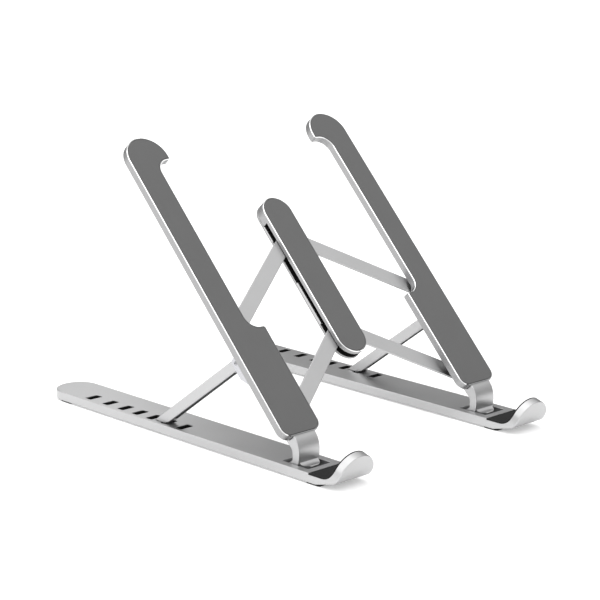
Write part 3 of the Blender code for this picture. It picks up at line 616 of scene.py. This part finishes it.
def make_arm(side_name, side, lower_top):
    body = f"arm_{side_name}"
    outline = arm_outline(side)
    floor = -PAD_THICK - 0.1
    edge = soft_profile(-ARM_THICK, RIM_TOP, 0.25)[:4]
    profile = edge + [(0.0, RIM_TOP - CHAMFER), (CHAMFER, RIM_TOP), (POCKET_INSET, RIM_TOP),
                      (POCKET_INSET, floor)]
    # The arm's shell takes the darker copy of the aluminium, which is painted shade.
    shell = moulding(f"arm_{side_name}_shell", outline, profile, PLANE, [SATIN_PAINTED_SHADE, CUT],
                     [0] * 4 + [1, 0, 0])
    shaded(shell)
    to_plane = PLANE.inverted()
    for face in shell.data.polygons:
        if (to_plane @ face.center).y < ARM_BOTTOM + CHAMFER:
            face.material_index = 0
    place_piece(shell, body, "aluminium", f"arm_plate_{side_name}")

    pad = moulding(f"arm_{side_name}_silicone_pad", shrunk(outline, PAD_INSET),
                   soft_profile(-PAD_THICK, 0.0, PAD_EDGE), PLANE, [GREY_SILICONE])
    shaded(pad)
    place_piece(pad, body, "pad_grey", f"arm_pad_{side_name}")

    upper = (side * (HALF_SPACING - UPPER_ARM_INSET), UPPER_BAR_PIVOT[1] - LINK_DROP)
    lower = (side * (HALF_SPACING - LOWER_ARM_INSET), LOWER_BAR_PIVOT[1] - LINK_DROP)
    for level, at, link_top in (("upper", upper, LINK_TOP_HIGH), ("lower", lower, lower_top)):
        low = link_top - LINK_THICK - CLEAR - 1.0
        piece = shaded(rivet(f"{level}_rivet_{side_name}", *at, low, -ARM_THICK - 0.02, 1.0,
                             PIVOT_HEAD, PIVOT_RADIUS))
        place_piece(piece, body, "steel", f"{level}_arm_rivet_{side_name}")
    make_leg(side_name, side)
    make_bracket(side_name, side)


def leg_profile():
    """Side view of the curved neck, in (s, h), from its joint with the arm to the hinge."""
    upper_radius, lower_radius = NECK_RADII
    upper = arc((NECK_FRONT + upper_radius, NECK_LEVEL), upper_radius,
                pi - asin((NECK_TOP - NECK_LEVEL) / upper_radius), pi, 12)
    lower = arc((NECK_FRONT + lower_radius, NECK_LEVEL), lower_radius, pi,
                pi + asin((NECK_LEVEL - NECK_LOW) / lower_radius), 8)
    toe = arc((25.3, 2.2), 2.4, pi, 3 * pi / 2, 6)
    knuckle = arc((HINGE_Y, HINGE_Z), KNUCKLE_RADIUS, -pi / 2, radians(70), 14)
    underside = -ARM_THICK - CLEAR - TONGUE_THICK
    bend = arc(in_plane(30.85, 10.95), 4.0, radians(133), radians(91), 8)
    heel = [(LEG_BEND_END, underside), (LEG_BEND_END, -ARM_THICK - 0.05),
            (ARM_BOTTOM - 0.06, -ARM_THICK - 0.05), (ARM_BOTTOM - 0.06, RIM_TOP - 0.02)]
    world = upper + lower[1:] + toe[1:] + knuckle + [(26.7, 7.2)]
    return tidy_outline([in_plane(y, z) for y, z in world] + bend + heel)


def toe_profile():
    """Side view of the neck's flared foot, in (s, h)."""
    hollow = arc((TOE_FRONT + 1.5, TOE_TOP + TOE_RADIUS), TOE_RADIUS, -pi / 2, radians(-8), 10)
    edge = arc((TOE_FRONT + TOE_EDGE, TOE_TOP - TOE_EDGE), TOE_EDGE, pi, pi / 2, 5)
    low = TOE_TOP - TOE_THICK
    world = [(TOE_REAR, TOE_TOP + TOE_RADIUS - TOE_EDGE), (TOE_REAR, low), (TOE_FRONT, low)]
    world += edge + hollow
    return tidy_outline([in_plane(y, z) for y, z in world])


def make_leg(side_name, side):
    body = f"arm_{side_name}"
    centre = side * HALF_SPACING
    leg = moulding(f"leg_{side_name}_neck", leg_profile(),
                   soft_profile(centre - LEG_HALF, centre + LEG_HALF, LEG_EDGE, 3),
                   PLANE @ ON_SIDE, [SATIN])
    inner, outer = centre + side * TONGUE_INNER, centre + side * (LEG_HALF - 0.05)
    tongue_top = -ARM_THICK - 0.08
    low_edge = -ARM_THICK - CLEAR - TONGUE_THICK + 0.02
    tongue = moulding("tongue", rectangle(inner, outer, 1.2, TONGUE_TOP, 1.2),
                      soft_profile(low_edge, tongue_top, 0.25, 2), PLANE, [SATIN])
    plan = rounded([(centre - TOE_HALF, TOE_FRONT, TOE_CORNER),
                    (centre + TOE_HALF, TOE_FRONT, TOE_CORNER),
                    (centre + TOE_HALF, 27.0, 0.0), (centre - TOE_HALF, 27.0, 0.0)], 14)
    toe = moulding("toe", toe_profile(), [(0.0, centre - LEG_HALF), (0.0, centre + LEG_HALF)],
                   PLANE @ ON_SIDE, [SATIN])
    cut(toe, [moulding("plan", plan, [(0.0, 0.5), (0.0, TOE_TOP + TOE_RADIUS)], GROUND, [SATIN])],
        "INTERSECT")
    cut(leg, [tongue, toe], "UNION")
    shaded(leg)
    place_piece(leg, body, "aluminium", f"leg_{side_name}")
    for index, s in enumerate(LEG_SCREWS):
        piece = screw(f"leg_fixing_{side_name}_{index + 1}", centre + side * LEG_SCREW_OUT, s,
                      low_edge - SCREW_HEAD_THICK, low_edge + 0.5)
        place_piece(piece, body, "steel", f"leg_screw_{side_name}_{index + 1}")


def make_bracket(side_name, side):
    body = f"arm_{side_name}"
    centre = side * (HALF_SPACING + STRUT_OUT)
    pivot_s, pivot_h = STRUT_PIVOT
    top = -ARM_THICK - 0.05
    base = top - BRACKET_BASE_THICK
    low = pivot_h - STRUT_DEPTH / 2 + 0.2
    half = STRUT_WIDTH / 2 + CLEAR
    ear = rounded([(BRACKET_LOW, top, 0.0), (BRACKET_LOW, base - 0.7, 0.0),
                   (BRACKET_LOW + 6.0, low, 1.5), (pivot_s + 3.2, low, 2.4),
                   (pivot_s + 3.2, top, 0.8)])
    bracket = moulding(f"strut_bracket_{side_name}_ears", ear,
                       soft_profile(centre - half - EAR_THICK, centre + half + EAR_THICK, 0.25, 2),
                       PLANE @ ON_SIDE, [STEEL])
    channel = [(BRACKET_LOW - 1.0, base), (BRACKET_BASE_END, base), (BRACKET_BASE_END, top + 1.0),
               (pivot_s + 5.0, top + 1.0), (pivot_s + 5.0, low - 2.0), (BRACKET_LOW - 1.0, low - 2.0)]
    cut(bracket, [cutter(tidy_outline(channel), centre - half, centre + half, PLANE @ ON_SIDE, STEEL)])
    shaded(bracket)
    place_piece(bracket, body, "steel", f"strut_bracket_{side_name}")
    piece = screw(f"bracket_fixing_{side_name}", centre, BRACKET_SCREW, base - SCREW_HEAD_THICK,
                  base + 0.4)
    place_piece(piece, body, "steel", f"bracket_screw_{side_name}")


def make_strut(side_name, side):
    """A square bar whose foot is cut level, with a toe that stands in a slot of the rail."""
    pivot = Vector(from_plane(*STRUT_PIVOT))
    run = Vector((STRUT_FOOT_Y, RAIL_THICK)) - pivot
    along = run.normalized()
    across = Vector((-along.y, along.x))
    half = STRUT_DEPTH / 2
    foot_level = RAIL_THICK + 0.08

    def meet(offset):
        start = pivot + across * offset
        return start + along * ((foot_level - start.y) / along.y)

    turn = atan2(across.y, across.x)
    knuckle = arc(pivot, half, turn, turn + pi, 18)
    lower, upper = meet(-half), meet(half)
    heel = lower - along * 1.8
    toe_rear, toe_front = [Vector((SLOT_REAR_EDGES[STRUT_SLOT] - back, RAIL_THICK - STRUT_TOE_DEPTH))
                           for back in STRUT_TOE]
    outline = knuckle + [tuple(heel), (toe_front.x, foot_level), tuple(toe_front), tuple(toe_rear),
                         (toe_rear.x, foot_level), tuple(upper)]
    centre = side * (HALF_SPACING + STRUT_OUT)
    bar = moulding(f"strut_{side_name}_bar", tidy_outline(outline),
                   soft_profile(centre - STRUT_WIDTH / 2, centre + STRUT_WIDTH / 2, 0.35, 3),
                   GROUND @ ON_SIDE, [SATIN, SATIN_PAINTED_SHADE])
    near, far = pivot + along * 7.0, pivot + along * (run.length - 9.5)
    trough = [near - across * (half + 1.0), far - across * (half + 1.0),
              far + across * (half - STRUT_WEB), near + across * (half - STRUT_WEB)]
    inside = STRUT_WIDTH / 2 - STRUT_WALL
    # The trough's inside takes the darker copy of the aluminium: painted shade in the hollow.
    cut(bar, [cutter(tidy_outline(trough), centre - inside, centre + inside, GROUND @ ON_SIDE,
                     SATIN_PAINTED_SHADE)])
    shaded(bar)
    place_piece(bar, f"strut_{side_name}", "aluminium", f"strut_{side_name}")


# ---------------------------------------------------------------- rails

def top_path(v, drop=0.0):
    """(y, z) of the rail's padded side, v past the bend's start; drop goes below it."""
    radius = BEND_RADIUS + drop
    if v <= 0.0:
        return BEND_START - v, RAIL_THICK - drop
    angle = min(v / BEND_RADIUS, BEND_ANGLE)
    rest = max(0.0, v - BEND_RADIUS * BEND_ANGLE)
    y = BEND_START - radius * sin(angle) - rest * cos(angle)
    z = RAIL_THICK + BEND_RADIUS - radius * cos(angle) + rest * sin(angle)
    return y, z


def bent_solid(name, centre, start, end, profile, mats, round_start=True, extra=0.0):
    """A strip along the rail's path, with the profile's (inset, drop) points at its edges."""
    half = RAIL_HALF + extra
    steps = 22
    form = bmesh.new()
    rings = []
    for inset, drop in profile:
        radius = half - inset
        rows = []
        if round_start:
            rows += [(radius * sin(pi / 2 * k / steps), start + half - radius * cos(pi / 2 * k / steps))
                     for k in range(steps + 1)]
        else:
            rows += [(radius, start + inset + k * 0.8) for k in range(10)]
        bend_end = end - half
        first = rows[-1][1]
        count = 20
        rows += [(radius, first + (bend_end - first) * (k + 1) / count) for k in range(count - 1)]
        rows += [(radius * cos(pi / 2 * k / steps), bend_end + radius * sin(pi / 2 * k / steps))
                 for k in range(steps + 1)]
        ring = []
        for width, v in rows:
            y, z = top_path(v, drop)
            ring.append([form.verts.new((centre + side * width, y, z)) for side in (-1, 1)])
        rings.append(ring)
    for ring, following in zip(rings, rings[1:]):
        loop = [row[1] for row in ring] + [row[0] for row in reversed(ring)]
        after = [row[1] for row in following] + [row[0] for row in reversed(following)]
        for k in range(len(loop)):
            j = (k + 1) % len(loop)
            form.faces.new((loop[k], loop[j], after[j], after[k]))
    for ring in (rings[0], rings[-1]):
        for row, following in zip(ring, ring[1:]):
            form.faces.new((row[0], row[1], following[1], following[0]))
    bmesh.ops.remove_doubles(form, verts=form.verts, dist=0.0005)
    bmesh.ops.dissolve_degenerate(form, edges=form.edges, dist=0.0005)
    return finished(name, mats, form, GROUND)


def edge_profile(top, base, radius, steps=3):
    """(inset, drop) from the padded side down to the other, with rounded edges."""
    return [(inset, -level) for inset, level in soft_profile(-base, -top, radius, steps)[::-1]]


def slot_outline(side, rear):
    outer = side * (HALF_SPACING + RAIL_HALF - SLOT_EDGE)
    inner = outer - side * SLOT_WIDTH
    return rectangle(inner, outer, rear - SLOT_LENGTH, rear, SLOT_CORNER)


def make_rail(side_name, side):
    body = f"rail_{side_name}"
    centre = side * HALF_SPACING
    rail = bent_solid(f"rail_{side_name}_bar", centre, BEND_START - RAIL_REAR, LIP_LENGTH,
                      edge_profile(0.0, RAIL_THICK, RAIL_EDGE), [SATIN, CUT])
    recess = bent_solid("recess", centre, BEND_START - HOOK_PAD_REAR, LIP_LENGTH + 3.0,
                        [(0.0, -2.0), (0.0, HOOK_RECESS)], [SATIN], False, 3.0)
    tools = [recess, cutter(rectangle(centre - WINDOW_HALF, centre + WINDOW_HALF, WINDOW_FRONT,
                                      WINDOW_REAR, WINDOW_CORNER),
                            0.0, RAIL_THICK, GROUND, SATIN, 0.25, 0.25)]
    for rear in SLOT_REAR_EDGES:
        tools.append(cutter(slot_outline(side, rear), RAIL_THICK - SLOT_DEPTH, RAIL_THICK, GROUND,
                            SATIN, 0.12))
    cut(rail, tools)
    shaded(rail)
    place_piece(rail, body, "aluminium", f"rail_{side_name}")

    pad = bent_solid(f"hook_lining_{side_name}", centre, BEND_START - HOOK_PAD_REAR + 0.15,
                     LIP_LENGTH, edge_profile(0.1, HOOK_PAD_THICK, 0.12, 2), [BLACK_SILICONE], False,
                     -0.05)
    shaded(pad)
    place_piece(pad, body, "pad_black", f"hook_pad_{side_name}")

    # Black cups of painted shade line each slot's walls and floor.
    shade_cups = []
    catches = []
    for rear in SLOT_REAR_EDGES:
        low, high = RAIL_THICK - SLOT_DEPTH + 0.02, RAIL_THICK - 0.35
        cup = [(0.02, low), (0.02, high), (0.45, high), (0.5, low + 0.4)]
        shade_cups.append(moulding("shade_cup", slot_outline(side, rear), cup, GROUND, [BLACK_PAINTED_SHADE]))
        outer = side * (HALF_SPACING + RAIL_HALF - SLOT_EDGE)
        near, far = outer - side * CATCH_SHIFT, outer - side * (CATCH_SHIFT + CATCH_SIZE)
        post = rectangle(near, far, rear - CATCH_BACK - CATCH_SIZE, rear - CATCH_BACK, 0.2, 3)
        catches.append(moulding("catch", post, [(0.0, low + 0.5), (0.0, high - 1.0),
                                                (0.1, high - 0.9)], GROUND, [SATIN]))
    shade_cup = shaded(joined(f"slot_shade_cups_{side_name}", shade_cups))
    place_piece(shade_cup, body, "pad_black")
    catch = shaded(joined(f"slot_catches_{side_name}", catches))
    place_piece(catch, body, "aluminium")

    sheets = [moulding("sheet", rectangle(centre - WINDOW_HALF + 0.05, centre + WINDOW_HALF - 0.05,
                                          low, high, 0.4), [(0.0, 0.05), (0.0, 0.4)], GROUND,
                       [BLACK_PAINTED_SHADE]) for low, high in WINDOW_SHADE_SHEETS]
    sheet = shaded(joined(f"window_lining_{side_name}", sheets))
    place_piece(sheet, body, "pad_black")

    for name, y in FOOT_PAD_CENTRES.items():
        half, reach = FOOT_PAD_WIDTH / 2, FOOT_PAD_LENGTH / 2
        outline = rectangle(centre - half, centre + half, y - reach, y + reach, FOOT_PAD_CORNER, 8)
        foot = moulding(f"rubber_foot_{name}_{side_name}", outline,
                        soft_profile(-FOOT_HEIGHT, 0.05, 0.2, 3), GROUND, [BLACK_SILICONE])
        shaded(foot)
        place_piece(foot, body, "pad_black", f"rail_foot_{name}_{side_name}")


# ---------------------------------------------------------------- CAD pieces that stay

def carry_over():
    for name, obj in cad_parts.items():
        kept = {"bar_pivot": STEEL, "hinge_pin": STEEL, "strut_pin": STEEL, "washer": NYLON}
        for key, mat in kept.items():
            if key in name:
                for index in range(len(obj.material_slots)):
                    obj.material_slots[index].material = mat


# ---------------------------------------------------------------- stage, lights and camera

def make_stage():
    mesh = bpy.data.meshes.new("studio_floor")
    form = bmesh.new()
    bmesh.ops.create_grid(form, x_segments=1, y_segments=1, size=9.0)
    form.to_mesh(mesh)
    form.free()
    floor = bpy.data.objects.new("studio_floor", mesh)
    bpy.context.scene.collection.objects.link(floor)
    mat, _, shader = node_material("studio_paper", (FLOOR_TONE,) * 3, 0.0, 0.9)
    shader.inputs["Emission Color"].default_value = (1.0, 1.0, 1.0, 1.0)
    shader.inputs["Emission Strength"].default_value = FLOOR_GLOW
    shader.inputs["Specular IOR Level"].default_value = 0.1
    mesh.materials.append(mat)


def area_light(name, at, target, size, power):
    light = bpy.data.lights.new(name, "AREA")
    light.shape = "RECTANGLE"
    light.size, light.size_y = size
    light.energy = power
    obj = bpy.data.objects.new(name, light)
    bpy.context.scene.collection.objects.link(obj)
    obj.location = at
    obj.rotation_euler = (Vector(at) - Vector(target)).to_track_quat("Z", "Y").to_euler()


def make_lights():
    """A studio that is bright overhead and to the left, and dim to the rear right."""
    world = bpy.data.worlds.new("studio")
    bpy.context.scene.world = world
    world.use_nodes = True
    tree = world.node_tree
    background = tree.nodes["Background"]
    coords = tree.nodes.new("ShaderNodeTexCoord")
    towards = tree.nodes.new("ShaderNodeVectorMath")
    towards.operation = "DOT_PRODUCT"
    towards.inputs[1].default_value = BRIGHT_SIDE
    tree.links.new(coords.outputs["Generated"], towards.inputs[0])
    split = tree.nodes.new("ShaderNodeSeparateXYZ")
    tree.links.new(coords.outputs["Generated"], split.inputs["Vector"])
    level = ranged(tree, towards.outputs["Value"], *SIDE_LIGHT)
    level.node.inputs["From Min"].default_value = -1.0
    height = ranged(tree, split.outputs["Z"], 0.0, 1.0)
    height.node.inputs["From Min"].default_value = TOP_HEIGHTS[0]
    height.node.inputs["From Max"].default_value = TOP_HEIGHTS[1]
    mixed = tree.nodes.new("ShaderNodeMix")
    mixed.data_type = "FLOAT"
    mixed.inputs["B"].default_value = TOP_LIGHT
    tree.links.new(height, mixed.inputs["Factor"])
    tree.links.new(level, mixed.inputs["A"])
    tree.links.new(mixed.outputs["Result"], background.inputs["Strength"])
    background.inputs["Color"].default_value = (1.0, 1.0, 1.0, 1.0)
    area_light("rear_left", (-1.3, 0.9, 0.9), (-0.45, 0.35, 0.0), (1.3, 1.3), 7.0)
    area_light("rear_right", (0.37, 0.68, 0.33), (-0.07, 0.1, 0.0), (0.2, 0.2), 0.2)
    sun = bpy.data.lights.new("overhead", "SUN")
    sun.angle = SUN_ANGLE
    sun.energy = SUN_POWER
    lamp = bpy.data.objects.new("overhead", sun)
    bpy.context.scene.collection.objects.link(lamp)
    lamp.rotation_euler = (radians(12), radians(-10), 0.0)
    bpy.context.scene.view_settings.view_transform = "Standard"


def make_camera():
    target = Vector((TARGET[0], (TARGET[1] + Y_SHIFT) * MM, (TARGET[2] + FOOT_HEIGHT) * MM))
    back = Vector((sin(AZIMUTH) * cos(ELEVATION), -cos(AZIMUTH) * cos(ELEVATION), sin(ELEVATION)))
    camera = bpy.data.cameras.new("camera")
    camera.lens = LENS
    camera.sensor_width = 36.0
    camera.clip_end = 50.0
    obj = bpy.data.objects.new("camera", camera)
    bpy.context.scene.collection.objects.link(obj)
    obj.location = target + back * DISTANCE
    obj.rotation_mode = "QUATERNION"
    look = back.to_track_quat("Z", "Y").to_matrix()
    obj.rotation_quaternion = (look @ Matrix.Rotation(ROLL, 3, "Z")).to_quaternion()
    bpy.context.scene.camera = obj


make_bar()
for side_name, side, lower_top in (("left", -1, LINK_TOP_HIGH), ("right", 1, LINK_TOP_LOW)):
    make_link("upper", side_name, side, UPPER_BAR_PIVOT, LINK_TOP_HIGH)
    make_link("lower", side_name, side, LOWER_BAR_PIVOT, lower_top)
    make_arm(side_name, side, lower_top)
    make_strut(side_name, side)
    make_rail(side_name, side)
carry_over()
make_stage()
make_lights()
make_camera()
